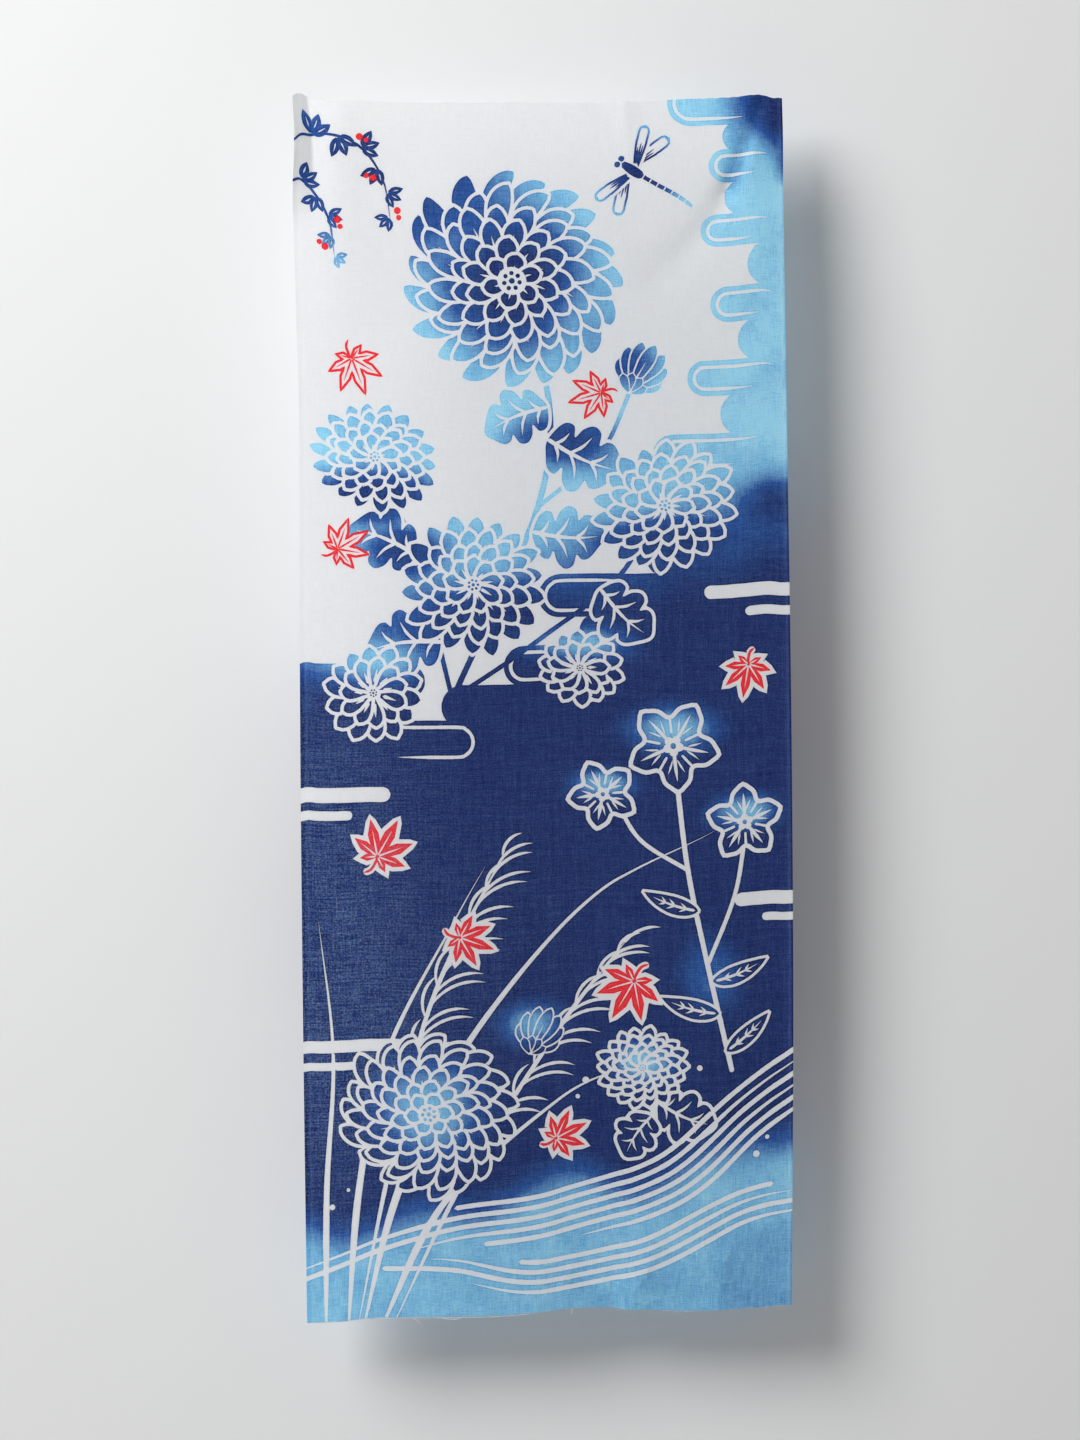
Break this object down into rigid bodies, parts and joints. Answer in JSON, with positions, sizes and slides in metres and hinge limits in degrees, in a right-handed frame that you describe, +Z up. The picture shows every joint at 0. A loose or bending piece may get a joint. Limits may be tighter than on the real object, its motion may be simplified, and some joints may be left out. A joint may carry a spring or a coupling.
{
  "type": "tenugui towel",
  "caption": "Thin cotton hand towel with dyed and resist-white design, hanging flat from its top edge with soft folds near the corners and the loose end.",
  "frame": {"origin": "middle of the top edge, half-way through the cloth", "axes": "+Z up along the hanging cloth, +X to the viewer's right across its width, the dyed front facing -Y"},
  "size_m": [0.3705, 0.0189, 0.909],
  "materials": {
    "dyed_cotton": "matt, thin plain-weave cotton, slightly see-through, dyed right through"
  },
  "bodies": {
    "root": {"tenugui_cloth": "dyed_cotton"}
  },
  "joints": []
}
